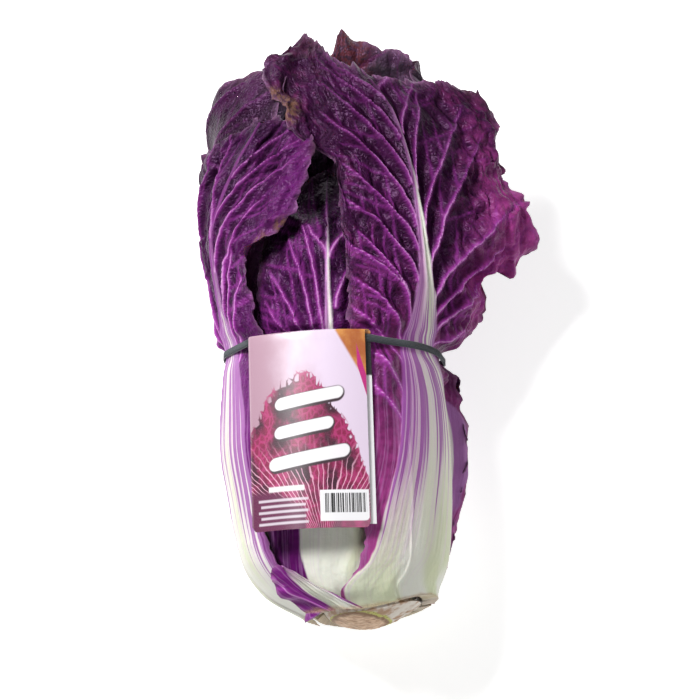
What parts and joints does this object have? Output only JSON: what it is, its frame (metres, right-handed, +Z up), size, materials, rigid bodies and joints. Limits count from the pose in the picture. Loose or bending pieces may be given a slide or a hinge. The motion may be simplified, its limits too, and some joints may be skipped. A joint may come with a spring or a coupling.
{
  "type": "purple napa cabbage",
  "caption": "Purple napa cabbage head lying on its side, as nested leaves on a cut stem, tied with a flat elastic band that carries a folded card tag.",
  "frame": {"origin": "on the surface the head lies on, under the centre of its bounding box", "axes": "+Y from the cut base to the leaf tips, +X to the right seen from above, +Z up"},
  "size_m": [0.1826, 0.334, 0.1107],
  "materials": {
    "leaf_outer": "waxy leaf, purple blade on a white petiole with violet streaks",
    "leaf_inner": "waxy leaf, paler and pinker than the outer ones",
    "stem_cut": "dry cut stem with a darker ring",
    "elastic": "flat woven elastic",
    "tag_card": "coated card with a plain printed leaf pattern"
  },
  "bodies": {
    "root": {"stem_butt": "stem_cut", "heart_bud": "leaf_inner", "inner_leaf_01": "leaf_inner", "inner_leaf_02": "leaf_inner", "inner_leaf_03": "leaf_inner", "inner_leaf_04": "leaf_inner", "inner_leaf_05": "leaf_inner", "inner_leaf_06": "leaf_inner", "inner_leaf_07": "leaf_inner", "inner_leaf_08": "leaf_inner", "inner_leaf_09": "leaf_inner", "inner_leaf_10": "leaf_inner", "inner_leaf_11": "leaf_inner", "inner_leaf_12": "leaf_inner", "inner_leaf_13": "leaf_inner", "leaf_centre": "leaf_outer", "leaf_under_middle": "leaf_outer", "leaf_back_left": "leaf_outer", "leaf_under_right": "leaf_outer", "leaf_left_outer": "leaf_outer", "leaf_right_outer": "leaf_outer", "leaf_torn_stub": "leaf_outer", "elastic_band": "elastic", "hang_tag": "tag_card"}
  },
  "joints": []
}
